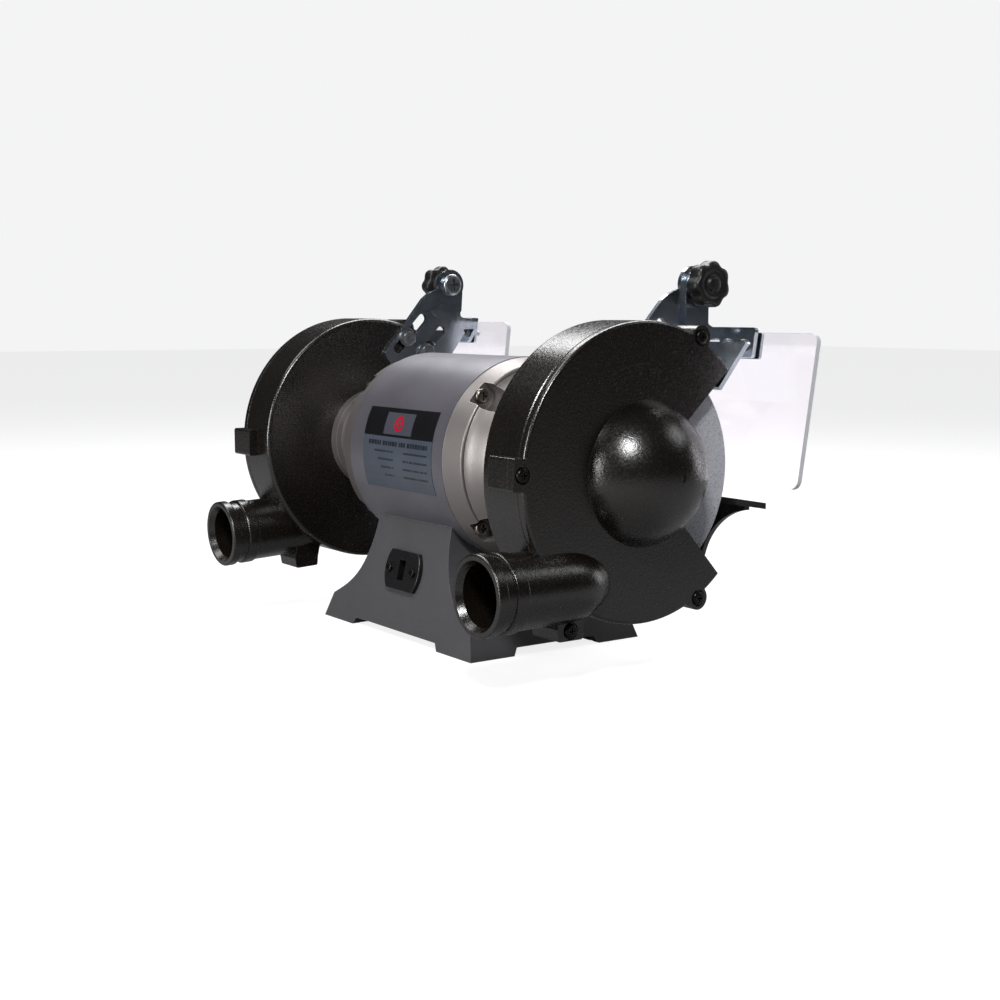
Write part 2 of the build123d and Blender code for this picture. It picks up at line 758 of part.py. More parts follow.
def shieldPlateBolts():
    """Hexagon bolts and washers that clamp the slotted plate to the guard wall."""
    face = guardInner - plateThick
    pieces = []
    for y, z in shieldBolts:
        bolt = hexBolt(10, 4.5, boltRadius, 11)
        washer = barX(6.2, face - 1.2, face, y, z) - barX(boltRadius, 120, 150, y, z)
        pieces.append(along(bolt, face - 1.2, y, z, (-1, 0, 0)))
        pieces.append(washer)
    return joined(pieces)


# ---------------------------------------------------------------- tool rests

def restUnderside(y):
    """Height of the underside of the sloping table at a distance from the spindle."""
    return restBackZ - math.tan(math.radians(restTilt)) * (restBackY - y) - restThick


def toolRest():
    """Sloping table on a curved gusset, with a slotted foot on the guard wall."""
    front, frontY = restUnderside(restFrontY), gussetY - gussetThick
    table = sheetYZ(((restBackY, restBackZ), (restFrontY, front + restThick), (restFrontY, front),
                     (restBackY, restUnderside(restBackY))), restInner, restOuter)
    inner, outer, high = restInner + 1, restOuter - 1, restUnderside(gussetY)
    low = restUnderside(frontY)
    edge = Polyline((inner + 4, 61), (inner, 61), (inner, high + 1), (outer, high + 1), (outer, low - 2))
    curve = ThreePointArc((outer, low - 2), (inner + 18, 83.5), (inner + 4, 61))
    plane = Plane(origin=(0, gussetY, 0), x_dir=(1, 0, 0), z_dir=(0, -1, 0))
    gusset = extrude(plane * make_face(edge + curve), gussetThick)
    outline = ((restBackY + 0.5, high + 2), (frontY, low + 1), (frontY, 60), (-78, 48), (-44, 33),
               (-20, 45), (-32, 65), (-56, 80))
    foot = sheetYZ(outline, inner, guardInner, (0, 0, 8, 10, 6, 6, 6, 8))
    rest = table + gusset + foot
    for y, z in restBolts:
        rest -= slotCut((y - 1, z), (y + 11, z), 2 * boltRadius + 1, 120, 150)
    return rest


def restPlateBolts():
    pieces = []
    face = restInner + 1
    for y, z in restBolts:
        bolt = hexBolt(10, 4.5, boltRadius, 12)
        washer = barX(6.2, face - 1.2, face, y, z) - barX(boltRadius, 120, 150, y, z)
        pieces.append(along(bolt, face - 1.2, y, z, (-1, 0, 0)))
        pieces.append(washer)
    return joined(pieces)


# ---------------------------------------------------------------- electrical fittings

def powerInlet():
    """Flat-sided round flange with a recessed slot and its body through the wall."""
    place = Location(facePlane(False))
    flange = Pos(0, 0, 1.6) * Cylinder(21.5, 3.2)
    flange = fillet(flange.edges().group_by(Axis.Z)[-1], 1)
    flange &= Pos(0, 0, 5) * Box(60, 27, 10)
    body = flange + Pos(0, 0, -9) * Box(29, 19, 18)
    body -= Pos(0, 0, -4) * Box(8, 14, 20)
    body += Pos(0, 0, -8) * Box(2.2, 7, 12)
    for x in (-14.6, 14.6):
        body -= Pos(x, 0, 0) * Cylinder(1.6, 40)
    return place * body


def inletScrews():
    screw = panScrew(3.2, 2.2, 1.6, 13)
    return joined([Location(facePlane(False)) * Pos(x, 0, 3.2) * screw for x in (-14.6, 14.6)])


def ratingLabel():
    """Thin plate wrapped on the rear of the motor shell."""
    skin = barX(shellRadius + 0.4, labelStart, labelStart + labelWidth) - barX(shellRadius, -60, 60)
    corner = (0, axisHeight)
    return skin & sheetYZ((corner, polar(110, -19.5), polar(110, 28)), -50, 50)


rockerLength = 19.0


def switchHousing():
    place = Location(facePlane(True))
    bezel = Pos(0, 0, 1.25) * Box(38, 29, 2.5)
    bezel = fillet(bezel.edges().filter_by(Axis.Z), 3)
    body = bezel + Pos(0, 0, -11) * Box(29, 21, 22)
    body -= Pos(0, 0, 0) * Box(24, rockerLength + 1, 13)
    for x in (-6, 0, 6):
        body += Pos(x, 0, -25) * Box(4.8, 0.8, 7)
    return place * body


def switchRocker():
    """Rocker key, its lower end pushed in at rest."""
    place = Location(facePlane(True))
    outline = ((-9, -1.5), (-6, -5.5), (6, -5.5), (9, -1.5), (8.6, 4.2), (0, 1.8), (-8.6, 4.2))
    key = extrude(Plane.YZ * make_face(Polyline(*outline, close=True)), 11.4, both=True)
    return place * Rot(-8, 0, 0) * key


def write(shape, node):
    os.makedirs("parts", exist_ok=True)
    export_step(shape, "parts/" + node + ".step")


centreParts = {
    "base": base,
    "bottom_plate": bottomPlate,
    "bottom_plate_screws": bottomPlateScrews,
    "saddle_screws": saddleScrews,
    "motor_shell": motorShell,
    "tie_bolts": tieBolts,
    "tie_nuts": tieNuts,
    "stator_core": statorCore,
    "stator_windings": statorWindings,
    "run_capacitor": runCapacitor,
    "capacitor_clamp": capacitorClamp,
    "terminal_block": terminalBlock,
    "power_inlet": powerInlet,
    "inlet_screws": inletScrews,
    "rating_label": ratingLabel,
    "switch_housing": switchHousing,
    "switch_rocker": switchRocker,
    "shaft": shaft,
    "rotor_core": rotorCore,
    "rotor_cage": rotorCage,
    "bearing_balls": bearingBalls,
    "bearing_preload_washer": preloadWasher,
}

endParts = {
    "wheel": wheel,
    "arbor_nut": arborNut,
}

guardParts = {
    "guard": guard,
    "cover": cover,
    "spark_plate": sparkPlate,
    "pivot_bolt": pivotBolt,
    "pivot_washer": pivotWasher,
    "shield_arm": shieldArm,
    "shield_pane": shieldPane,
    "clamp_plates": clampPlate,
    "knob": knob,
    "tool_rest": toolRest,
}

screwSets = {
    "cover_screws": coverScrews,
    "clamp_screws": clampScrews,
}

sharedParts = {
    "wheel_bushes": lambda side: [onSide(wheelBush(), side)],
    "wheel_blotters": lambda side: [onSide(ring, side) for ring in wheelBlotters()],
    "wheel_flanges": lambda side: [onSide(innerFlange(), side), onSide(outerFlange(), side)],
    "guard_screws": guardScrews,
    "spark_plate_bolts": lambda side: [onGuard(shieldPlateBolts(), side)],
    "tool_rest_bolts": lambda side: [onGuard(restPlateBolts(), side)],
}

for node, make in centreParts.items():
    write(make(), node)
write(bearingRing(ballCircle + 1.4, bearingOuter), "bearing_outer_rings")
write(bearingRing(bearingInner, ballCircle - 1.4), "bearing_inner_rings")
write(onSide(endBell(0), "left"), "end_bell_left")
write(endBell(guardTurn), "end_bell_right")
for side in ("left", "right"):
    for node, make in endParts.items():
        write(onSide(make(), side), node + "_" + side)
    for node, make in guardParts.items():
        write(onGuard(make(), side), node + "_" + side)
    for node, make in screwSets.items():
        write(joined([onGuard(make(), side)]), node + "_" + side)
for node, make in sharedParts.items():
    write(joined(make("left") + make("right")), node)
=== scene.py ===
import json
import math
import bpy
import numpy as np
from mathutils import Matrix, Vector


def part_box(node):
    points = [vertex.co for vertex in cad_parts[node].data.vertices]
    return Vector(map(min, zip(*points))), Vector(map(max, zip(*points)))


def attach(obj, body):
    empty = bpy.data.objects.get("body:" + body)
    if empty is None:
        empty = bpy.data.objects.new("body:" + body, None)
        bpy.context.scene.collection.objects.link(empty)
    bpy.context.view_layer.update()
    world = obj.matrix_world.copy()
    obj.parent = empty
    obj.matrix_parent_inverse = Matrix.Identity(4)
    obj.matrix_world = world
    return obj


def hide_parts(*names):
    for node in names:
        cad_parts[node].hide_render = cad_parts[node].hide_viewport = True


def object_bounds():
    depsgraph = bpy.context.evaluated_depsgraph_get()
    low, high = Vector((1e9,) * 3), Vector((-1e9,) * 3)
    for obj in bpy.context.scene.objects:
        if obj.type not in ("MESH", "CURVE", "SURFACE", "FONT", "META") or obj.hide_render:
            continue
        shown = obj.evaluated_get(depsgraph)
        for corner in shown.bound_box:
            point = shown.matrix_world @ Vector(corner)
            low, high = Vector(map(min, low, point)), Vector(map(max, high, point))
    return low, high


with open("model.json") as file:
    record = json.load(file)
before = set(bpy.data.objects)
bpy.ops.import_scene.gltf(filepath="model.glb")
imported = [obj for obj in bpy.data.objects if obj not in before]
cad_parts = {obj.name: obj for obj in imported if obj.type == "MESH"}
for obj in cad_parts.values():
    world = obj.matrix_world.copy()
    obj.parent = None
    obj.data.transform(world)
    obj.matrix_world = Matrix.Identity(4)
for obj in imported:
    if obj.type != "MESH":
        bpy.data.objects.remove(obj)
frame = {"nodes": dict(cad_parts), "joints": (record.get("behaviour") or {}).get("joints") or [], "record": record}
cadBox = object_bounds()
cadNodes = frame["nodes"]
mm = 0.001
sides = {"left": -1, "right": 1}
spindleZ = next(j for j in frame["joints"] if j["name"] == "spindle_spin")["pos_m"][2]
print("packed grinder loaded,", len(cadNodes), "parts")


def linear(hexColour):
    # sRGB hex to the linear colour that the shaders take
    parts = [int(hexColour[i:i + 2], 16) / 255 for i in (1, 3, 5)]
    return [p / 12.92 if p <= 0.04045 else ((p + 0.055) / 1.055) ** 2.4 for p in parts] + [1.0]


def addNode(tree, kind, sockets=None, output=0, **settings):
    # adds one node, sets its options, fills or links its sockets, and gives back one output
    node = tree.nodes.new("ShaderNode" + kind)
    for name, value in settings.items():
        setattr(node, name, value)
    for name, value in (sockets or {}).items():
        if isinstance(value, bpy.types.NodeSocket):
            tree.links.new(value, node.inputs[name])
        else:
            node.inputs[name].default_value = value
    return node.outputs[output]


def startMaterial(name, **fixed):
    # a named material, its shader with fixed values, and object coordinates in millimetres
    material = bpy.data.materials.new(name)
    material.use_nodes = True
    tree = material.node_tree
    shader = tree.nodes["Principled BSDF"]
    for socket, value in fixed.items():
        shader.inputs[socket.replace("_", " ")].default_value = value
    place = addNode(tree, "TexCoord", output="Object")
    scaled = addNode(tree, "VectorMath", {0: place, 1: (1000, 1000, 1000)}, operation="MULTIPLY")
    return material, tree, shader, scaled


def finishMaterial(tree, shader, **sockets):
    # links what varies over the surface to the shader
    for name, value in sockets.items():
        tree.links.new(value, shader.inputs[name.replace("_", " ")])


def edgeMask(tree, radius, low=0.02, high=0.2):
    # 1 along sharp edges, 0 on flats: how far a rounded normal leaves the true one
    rounded = addNode(tree, "Bevel", {"Radius": radius * mm}, samples=4)
    true = addNode(tree, "NewGeometry", output="Normal")
    dot = addNode(tree, "VectorMath", {0: rounded, 1: true}, "Value", operation="DOT_PRODUCT")
    return addNode(tree, "MapRange", {"Value": dot, "From Min": 1 - low, "From Max": 1 - high})


# noise scales below are 0.5 / size, so that one lump measures about size millimetres
# the edge colours below paint a paler line along every edge: partly thinner enamel, partly a painted highlight
blackEnamel = {"dark": "#0b0806", "light": "#16110c", "edge": "#4a4541", "lump": 0.85, "pore": 0.4,
               "gloss": (0.2, 0.3), "bump": 0.6, "depth": 0.2, "shine": 0.8}
restEnamel = {"dark": "#0a0a0a", "light": "#141312", "edge": "#34322f", "lump": 0.6, "pore": 0.25,
              "gloss": (0.26, 0.38), "bump": 0.5, "depth": 0.16, "shine": 0.6}
greyEnamel = {"dark": "#403f41", "light": "#4a494b", "edge": "#8c8b90", "lump": 0.9, "pore": 0.35,
              "gloss": (0.42, 0.58), "bump": 0.5, "depth": 0.22, "shine": 0.4}


def castEnamel(name, look):
    # enamel sprayed on a sand casting: the skin of the sand shows as soft lumps with small pores,
    # and a paler line runs along every edge: partly thinner film, partly a painted highlight
    material, tree, shader, place = startMaterial(name, Specular_IOR_Level=look["shine"], IOR=1.5)
    lumps = addNode(tree, "TexNoise", {"Vector": place, "Scale": 0.5 / look["lump"], "Detail": 4.0,
                                       "Roughness": 0.6})
    pores = addNode(tree, "TexNoise", {"Vector": place, "Scale": 0.5 / look["pore"], "Detail": 2.0,
                                       "Roughness": 0.5})
    clouds = addNode(tree, "TexNoise", {"Vector": place, "Scale": 0.5 / 22, "Detail": 2.0, "Roughness": 0.55})
    shade = addNode(tree, "Mix", {0: clouds, 6: linear(look["dark"]), 7: linear(look["light"])}, 2,
                    data_type="RGBA")
    # painted highlight along the edges, mixed with thinner enamel there, broken up by the pores
    poreBreakup = addNode(tree, "MapRange", {"Value": pores, "From Min": 0.3, "From Max": 0.7, "To Min": 0.25})
    thinEnamelAndPaintedHighlight = addNode(tree, "Math", {0: edgeMask(tree, 0.7, 0.03, 0.3), 1: poreBreakup}, operation="MULTIPLY")
    colour = addNode(tree, "Mix", {0: thinEnamelAndPaintedHighlight, 6: shade, 7: linear(look["edge"])}, 2, data_type="RGBA")
    rough = addNode(tree, "MapRange", {"Value": lumps, "From Min": 0.35, "From Max": 0.65,
                                       "To Min": look["gloss"][0], "To Max": look["gloss"][1]})
    relief = addNode(tree, "Math", {0: pores, 1: 0.45, 2: lumps}, operation="MULTIPLY_ADD")
    bump = addNode(tree, "Bump", {"Height": relief, "Strength": look["bump"], "Distance": look["depth"] * mm})
    finishMaterial(tree, shader, Base_Color=colour, Roughness=rough, Normal=bump)
    return material


silverPaint = {"flake": "#7e7c83", "shadow": "#6c6a71", "flakeSize": 0.4, "gloss": (0.36, 0.48)}


def silverEnamel(name, look):
    # aluminium-flake enamel sprayed on rolled steel: flakes lie flat and give a soft satin sheen,
    # broken by faint clouds where the spray overlaps
    material, tree, shader, place = startMaterial(name, Metallic=0.72, Coat_Weight=0.12, Coat_Roughness=0.3)
    flakes = addNode(tree, "TexNoise", {"Vector": place, "Scale": 0.5 / look["flakeSize"], "Detail": 2.0,
                                        "Roughness": 0.7})
    clouds = addNode(tree, "TexNoise", {"Vector": place, "Scale": 0.5 / 30, "Detail": 2.0, "Roughness": 0.55})
    tone = addNode(tree, "Math", {0: flakes, 1: 0.5, 2: clouds}, operation="MULTIPLY_ADD")
    mixed = addNode(tree, "MapRange", {"Value": tone, "From Min": 0.55, "From Max": 0.95})
    colour = addNode(tree, "Mix", {0: mixed, 6: linear(look["shadow"]), 7: linear(look["flake"])}, 2,
                     data_type="RGBA")
    rough = addNode(tree, "MapRange", {"Value": flakes, "From Min": 0.3, "From Max": 0.7,
                                       "To Min": look["gloss"][0], "To Max": look["gloss"][1]})
    bump = addNode(tree, "Bump", {"Height": flakes, "Strength": 0.12, "Distance": 0.05 * mm})
    finishMaterial(tree, shader, Base_Color=colour, Roughness=rough, Normal=bump)
    return material


# the edge colour is a painted highlight along the bell's edges
bellPaint = {"flake": "#8b8684", "shadow": "#76716f", "edge": "#cfcac5", "lump": 0.6, "gloss": (0.4, 0.52)}


def bellEnamel(name, look):
    # the same silver enamel over a die casting, with a faint skin of the die and a painted highlight along its
    # edges
    material, tree, shader, place = startMaterial(name, Metallic=0.75, Coat_Weight=0.12, Coat_Roughness=0.28)
    lumps = addNode(tree, "TexNoise", {"Vector": place, "Scale": 0.5 / look["lump"], "Detail": 3.0,
                                       "Roughness": 0.6})
    clouds = addNode(tree, "TexNoise", {"Vector": place, "Scale": 0.5 / 25, "Detail": 2.0, "Roughness": 0.55})
    tone = addNode(tree, "Mix", {0: clouds, 6: linear(look["shadow"]), 7: linear(look["flake"])}, 2,
                   data_type="RGBA")
    # painted highlight: every sharp edge is lightened toward the edge colour
    colour = addNode(tree, "Mix", {0: edgeMask(tree, 0.6), 6: tone, 7: linear(look["edge"])}, 2,
                     data_type="RGBA")
    rough = addNode(tree, "MapRange", {"Value": lumps, "From Min": 0.3, "From Max": 0.7,
                                       "To Min": look["gloss"][0], "To Max": look["gloss"][1]})
    bump = addNode(tree, "Bump", {"Height": lumps, "Strength": 0.2, "Distance": 0.08 * mm})
    finishMaterial(tree, shader, Base_Color=colour, Roughness=rough, Normal=bump)
    return material


# the edge colour is a painted highlight, a near-white glint along every edge
zincPlate = {"bright": "#c2c8ce", "blue": "#a3aebb", "warm": "#b8b2a4", "edge": "#f6f8f9",
             "gloss": (0.18, 0.26)}


def zincSheet(name, look):
    # zinc electroplated on pressed steel and passivated: bluish and faintly warm clouds,
    # fine rolling lines of the sheet, and a painted highlight along the edges
    material, tree, shader, place = startMaterial(name, Metallic=1.0)
    clouds = addNode(tree, "TexNoise", {"Vector": place, "Scale": 0.5 / 9, "Detail": 3.0, "Roughness": 0.55})
    patches = addNode(tree, "TexNoise", {"Vector": place, "Scale": 0.5 / 4, "Detail": 2.0, "Roughness": 0.55})
    coolness = addNode(tree, "MapRange", {"Value": clouds, "From Min": 0.35, "From Max": 0.65})
    cool = addNode(tree, "Mix", {0: coolness, 6: linear(look["bright"]), 7: linear(look["blue"])}, 2,
                   data_type="RGBA")
    warmth = addNode(tree, "MapRange", {"Value": patches, "From Min": 0.55, "From Max": 0.8, "To Max": 0.5})
    tint = addNode(tree, "Mix", {0: warmth, 6: cool, 7: linear(look["warm"])}, 2, data_type="RGBA")
    # painted highlight: edges lightened to near white as glints
    colour = addNode(tree, "Mix", {0: edgeMask(tree, 0.35), 6: tint, 7: linear(look["edge"])}, 2,
                     data_type="RGBA")
    # rolling lines are 0.1 mm apart on the real sheet, drawn at 0.3 mm so that they show
    stretched = addNode(tree, "VectorMath", {0: place, 1: (1.0, 0.1, 1.0)}, operation="MULTIPLY")
    lines = addNode(tree, "TexNoise", {"Vector": stretched, "Scale": 0.5 / 0.3, "Detail": 2.0,
                                       "Roughness": 0.55})
    rough = addNode(tree, "MapRange", {"Value": lines, "From Min": 0.3, "From Max": 0.7,
                                       "To Min": look["gloss"][0], "To Max": look["gloss"][1]})
    bump = addNode(tree, "Bump", {"Height": lines, "Strength": 0.02, "Distance": 0.01 * mm})
    finishMaterial(tree, shader, Base_Color=colour, Roughness=rough, Normal=bump)
    return material


# edge colours are painted highlights on the corners of each part
screwFinishes = {
    "zincScrew": {"base": "#a9adb0", "edge": "#e0e2e4", "gloss": (0.22, 0.42), "metal": 1.0},
    "nickelScrew": {"base": "#8a837c", "edge": "#c9c2b8", "gloss": (0.24, 0.4), "metal": 1.0},
    "blackScrew": {"base": "#2c2a29", "edge": "#8d8a86", "gloss": (0.2, 0.42), "metal": 0.9},
    "groundSteel": {"base": "#9a9c9e", "edge": "#d5d7d9", "gloss": (0.16, 0.3), "metal": 1.0},
    "castAluminium": {"base": "#a8a8a9", "edge": "#d8d8d8", "gloss": (0.4, 0.6), "metal": 1.0},
}


def turnedMetal(name, look):
    # cold-headed or turned metal: tool marks break the gloss, and corners are painted paler as a painted highlight
    material, tree, shader, place = startMaterial(name, Metallic=look["metal"])
    marks = addNode(tree, "TexNoise", {"Vector": place, "Scale": 0.5 / 0.5, "Detail": 3.0, "Roughness": 0.65})
    spots = addNode(tree, "TexNoise", {"Vector": place, "Scale": 0.5 / 2.4, "Detail": 2.0, "Roughness": 0.55})
    darker = [c * 0.72 for c in linear(look["base"])[:3]] + [1.0]
    clean = addNode(tree, "MapRange", {"Value": spots, "From Min": 0.35, "From Max": 0.65})
    tone = addNode(tree, "Mix", {0: clean, 6: darker, 7: linear(look["base"])}, 2, data_type="RGBA")
    # painted highlight: corners lightened toward the edge colour
    colour = addNode(tree, "Mix", {0: edgeMask(tree, 0.25), 6: tone, 7: linear(look["edge"])}, 2,
                     data_type="RGBA")
    rough = addNode(tree, "MapRange", {"Value": marks, "From Min": 0.3, "From Max": 0.7,
                                       "To Min": look["gloss"][0], "To Max": look["gloss"][1]})
    bump = addNode(tree, "Bump", {"Height": marks, "Strength": 0.15, "Distance": 0.04 * mm})
    finishMaterial(tree, shader, Base_Color=colour, Roughness=rough, Normal=bump)
    return material


grit = {"grainSize": 0.6, "pale": "#d4d5da", "mid": "#b2b3ba", "dark": "#82848b", "bond": "#a3a5ac"}


def abrasiveGrit(name, look):
    # aluminium oxide grit fired in a glassy bond: packed grains in mixed greys, dull and rough.
    # 60 grit is 0.27 mm, drawn at 0.6 mm so that single grains show
    material, tree, shader, place = startMaterial(name, Specular_IOR_Level=0.3, IOR=1.6)
    cells = addNode(tree, "TexVoronoi", {"Vector": place, "Scale": 1 / look["grainSize"]}, "Color")
    distance = cells.node.outputs["Distance"]
    pick = addNode(tree, "SeparateColor", {0: cells}).node.outputs
    paleness = addNode(tree, "MapRange", {"Value": pick[0], "From Min": 0.1, "From Max": 0.9})
    body = addNode(tree, "Mix", {0: paleness, 6: linear(look["mid"]), 7: linear(look["pale"])}, 2,
                   data_type="RGBA")
    sparse = addNode(tree, "MapRange", {"Value": pick[1], "From Min": 0.8, "From Max": 0.86})
    speckled = addNode(tree, "Mix", {0: sparse, 6: body, 7: linear(look["dark"])}, 2, data_type="RGBA")
    gap = addNode(tree, "MapRange", {"Value": distance, "From Min": 0.35, "From Max": 0.6, "To Max": 0.7})
    colour = addNode(tree, "Mix", {0: gap, 6: speckled, 7: linear(look["bond"])}, 2, data_type="RGBA")
    rough = addNode(tree, "MapRange", {"Value": pick[2], "To Min": 0.72, "To Max": 0.98})
    pits = addNode(tree, "Math", {0: distance, 1: -1.0, 2: pick[2]}, operation="MULTIPLY_ADD")
    bump = addNode(tree, "Bump", {"Height": pits, "Strength": 0.7, "Distance": 0.25 * mm})
    finishMaterial(tree, shader, Base_Color=colour, Roughness=rough, Normal=bump)
    return material


pane = {"tint": "#f4eef5", "clear": "#f8f5f9", "sawn": "#dfe2e4", "gloss": (0.015, 0.07)}


def clearPolycarbonate(name, look):
    # extruded polycarbonate sheet: clear with a faint pink-grey tint, fine wiping scratches
    material, tree, shader, place = startMaterial(name, IOR=1.585, Transmission_Weight=1.0)
    haze = addNode(tree, "TexNoise", {"Vector": place, "Scale": 0.5 / 14, "Detail": 3.0, "Roughness": 0.55})
    stretched = addNode(tree, "VectorMath", {0: place, 1: (0.05, 1.0, 1.4)}, operation="MULTIPLY")
    wipes = addNode(tree, "TexNoise", {"Vector": stretched, "Scale": 0.5 / 0.6, "Detail": 2.0,
                                       "Roughness": 0.55})
    wear = addNode(tree, "Math", {0: haze, 1: wipes}, operation="MULTIPLY")
    clean = addNode(tree, "MapRange", {"Value": wear, "From Min": 0.15, "From Max": 0.45,
                                       "To Min": look["gloss"][0], "To Max": look["gloss"][1]})
    # the sawn edges face along X or mostly up and down: they are frosted and scatter the light
    normal = addNode(tree, "TexCoord", output="Normal")
    acrossSheet = addNode(tree, "SeparateXYZ", {0: normal}, "Y")
    facing = addNode(tree, "Math", {0: acrossSheet}, operation="ABSOLUTE")
    sawn = addNode(tree, "MapRange", {"Value": facing, "From Min": 0.55, "From Max": 0.85,
                                      "To Min": 1.0, "To Max": 0.0})
    tint = addNode(tree, "Mix", {0: haze, 6: linear(look["tint"]), 7: linear(look["clear"])}, 2,
                   data_type="RGBA")
    colour = addNode(tree, "Mix", {0: sawn, 6: tint, 7: linear(look["sawn"])}, 2, data_type="RGBA")
    rough = addNode(tree, "Math", {0: sawn, 1: 0.5, 2: clean}, operation="MULTIPLY_ADD")
    through = addNode(tree, "MapRange", {"Value": sawn, "To Min": 1.0, "To Max": 0.15})
    finishMaterial(tree, shader, Base_Color=colour, Roughness=rough, Transmission_Weight=through)
    return material


mouldings = {
    "phenolicBlack": {"base": "#100f0f", "second": "#1a1918", "edge": "#33302e", "gloss": (0.3, 0.5),
                      "grainSize": 0.4, "bump": 0.12},
    "polyamideBlack": {"base": "#0d0d0e", "second": "#151516", "edge": "#2c2c2d", "gloss": (0.26, 0.42),
                       "grainSize": 0.3, "bump": 0.1},
    "nylonIvory": {"base": "#c9c6ba", "second": "#bdb9ab", "edge": "#dcdad0", "gloss": (0.4, 0.55),
                   "grainSize": 0.5, "bump": 0.08},
    "rockerRed": {"base": "#8f1410", "second": "#7a100d", "edge": "#b0332c", "gloss": (0.24, 0.36),
                  "grainSize": 0.3, "bump": 0.06},
    "capacitorCan": {"base": "#1c1d20", "second": "#232428", "edge": "#3a3b40", "gloss": (0.25, 0.4),
                     "grainSize": 0.6, "bump": 0.05},
    "whitePrint": {"base": "#d8d8d4", "second": "#cfcfca", "edge": "#e4e4e0", "gloss": (0.45, 0.6),
                   "grainSize": 0.3, "bump": 0.05},
}


def mouldedPlastic(name, look):
    # injection or compression moulding: even colour, a fine spark-eroded grain, paler along sharp edges
    material, tree, shader, place = startMaterial(name, IOR=1.5, Specular_IOR_Level=0.42)
    fine = addNode(tree, "TexNoise", {"Vector": place, "Scale": 0.5 / look["grainSize"], "Detail": 2.0,
                                      "Roughness": 0.55})
    flow = addNode(tree, "TexNoise", {"Vector": place, "Scale": 0.5 / 12, "Detail": 2.0, "Roughness": 0.55})
    tone = addNode(tree, "Mix", {0: flow, 6: linear(look["base"]), 7: linear(look["second"])}, 2,
                   data_type="RGBA")
    colour = addNode(tree, "Mix", {0: edgeMask(tree, 0.5), 6: tone, 7: linear(look["edge"])}, 2,
                     data_type="RGBA")
    rough = addNode(tree, "MapRange", {"Value": fine, "From Min": 0.3, "From Max": 0.7,
                                       "To Min": look["gloss"][0], "To Max": look["gloss"][1]})
    bump = addNode(tree, "Bump", {"Height": fine, "Strength": look["bump"], "Distance": 0.06 * mm})
    finishMaterial(tree, shader, Base_Color=colour, Roughness=rough, Normal=bump)
    return material


prints = {
    "labelFilm": {"base": "#464c56", "second": "#383e48", "gloss": (0.34, 0.44)},
    "labelBlack": {"base": "#08080a", "second": "#101013", "gloss": (0.3, 0.4)},
    "labelPatch": {"base": "#42434c", "second": "#383942", "gloss": (0.34, 0.44)},
    "labelRed": {"base": "#a80c24", "second": "#920a1f", "gloss": (0.34, 0.42)},
    "labelInk": {"base": "#0e1016", "second": "#171a22", "gloss": (0.38, 0.46)},
}


def printedFilm(name, look):
    # printed polyester film: smooth and a little glossy, with a fine screen-printed mottle
    material, tree, shader, place = startMaterial(name, IOR=1.5, Specular_IOR_Level=0.4)
    mottle = addNode(tree, "TexNoise", {"Vector": place, "Scale": 0.5 / 0.6, "Detail": 2.0,
                                        "Roughness": 0.55})
    clouds = addNode(tree, "TexNoise", {"Vector": place, "Scale": 0.5 / 16, "Detail": 2.0, "Roughness": 0.55})
    tone = addNode(tree, "Math", {0: mottle, 1: 0.5, 2: clouds}, operation="MULTIPLY_ADD")
    mixed = addNode(tree, "MapRange", {"Value": tone, "From Min": 0.45, "From Max": 1.05})
    colour = addNode(tree, "Mix", {0: mixed, 6: linear(look["base"]), 7: linear(look["second"])}, 2,
                     data_type="RGBA")
    rough = addNode(tree, "MapRange", {"Value": mottle, "From Min": 0.3, "From Max": 0.7,
                                       "To Min": look["gloss"][0], "To Max": look["gloss"][1]})
    bump = addNode(tree, "Bump", {"Height": mottle, "Strength": 0.04, "Distance": 0.03 * mm})
    finishMaterial(tree, shader, Base_Color=colour, Roughness=rough, Normal=bump)
    return material


windings = {"gap": "#5a2713", "wire": "#b0622f"}


def varnishedCopper(name, look):
    # enamelled copper wire dipped in varnish: parallel strands under an amber gloss
    material, tree, shader, place = startMaterial(name, Metallic=0.85, Coat_Weight=0.6, Coat_Roughness=0.2)
    strands = addNode(tree, "TexWave", {"Vector": place, "Scale": 0.35, "Distortion": 2.0, "Detail": 1.0},
                      "Fac", wave_type="RINGS", rings_direction="X")
    colour = addNode(tree, "Mix", {0: strands, 6: linear(look["gap"]), 7: linear(look["wire"])}, 2,
                     data_type="RGBA")
    rough = addNode(tree, "MapRange", {"Value": strands, "To Min": 0.45, "To Max": 0.3})
    bump = addNode(tree, "Bump", {"Height": strands, "Strength": 0.5, "Distance": 0.3 * mm})
    finishMaterial(tree, shader, Base_Color=colour, Roughness=rough, Normal=bump)
    return material


sheets = {"dark": "#4a4c50", "light": "#6d6f73", "joint": "#2e3033"}


def stackedSteel(name, look):
    # punched electrical steel stacked on edge: 0.5 mm sheets drawn at 1 mm so that the lines show
    material, tree, shader, place = startMaterial(name, Metallic=0.95)
    edges = addNode(tree, "TexWave", {"Vector": place, "Scale": 0.32, "Distortion": 0.2}, "Fac",
                    bands_direction="X")
    stain = addNode(tree, "TexNoise", {"Vector": place, "Scale": 0.5 / 5, "Detail": 3.0, "Roughness": 0.55})
    tone = addNode(tree, "Mix", {0: stain, 6: linear(look["dark"]), 7: linear(look["light"])}, 2,
                   data_type="RGBA")
    colour = addNode(tree, "Mix", {0: edges, 6: tone, 7: linear(look["joint"])}, 2, data_type="RGBA")
    rough = addNode(tree, "MapRange", {"Value": stain, "From Min": 0.3, "From Max": 0.7,
                                       "To Min": 0.35, "To Max": 0.55})
    bump = addNode(tree, "Bump", {"Height": edges, "Strength": 0.3, "Distance": 0.15 * mm})
    finishMaterial(tree, shader, Base_Color=colour, Roughness=rough, Normal=bump)
    return material


paper = {"dark": "#8d8672", "light": "#b3ab94"}


